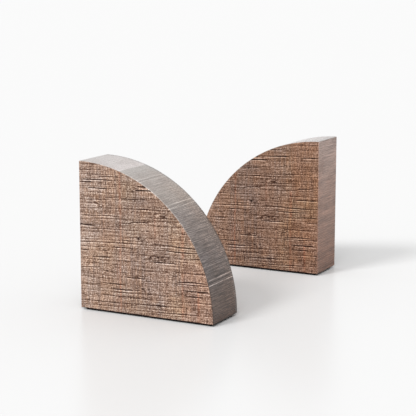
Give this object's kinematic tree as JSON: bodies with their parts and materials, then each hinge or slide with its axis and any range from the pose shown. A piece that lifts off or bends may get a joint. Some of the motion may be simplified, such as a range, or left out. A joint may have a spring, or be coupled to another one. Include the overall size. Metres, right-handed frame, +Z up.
{
  "type": "book ends",
  "caption": "Pair of quarter-round rough-sawn wooden book ends on thin black non-slip base pads, upright flat faces for the books and curved backs.",
  "frame": {"origin": "on the table, under the middle of the pair's bounding box", "axes": "+Z up; +X along the row of books, so the front book end's flat face looks along -X and the rear one's along +X; +Y from the front book end to the rear one"},
  "size_m": [0.151, 0.2896, 0.148],
  "materials": {
    "sawn_wood": "rough-sawn big faces with band-saw marks, vertical grain, smoother waxed curve",
    "black_rubber": "matt sheet rubber, die-cut"
  },
  "bodies": {
    "front_bookend": {"front_block": "sawn_wood", "front_base_pad": "black_rubber"},
    "rear_bookend": {"rear_block": "sawn_wood", "rear_base_pad": "black_rubber"}
  },
  "joints": [
    {"name": "rear_bookend_slide", "type": "slide", "parent": "front_bookend", "child": "rear_bookend", "axis": [1, 0, 0], "range_m": [-0.25, 0.08]}
  ]
}
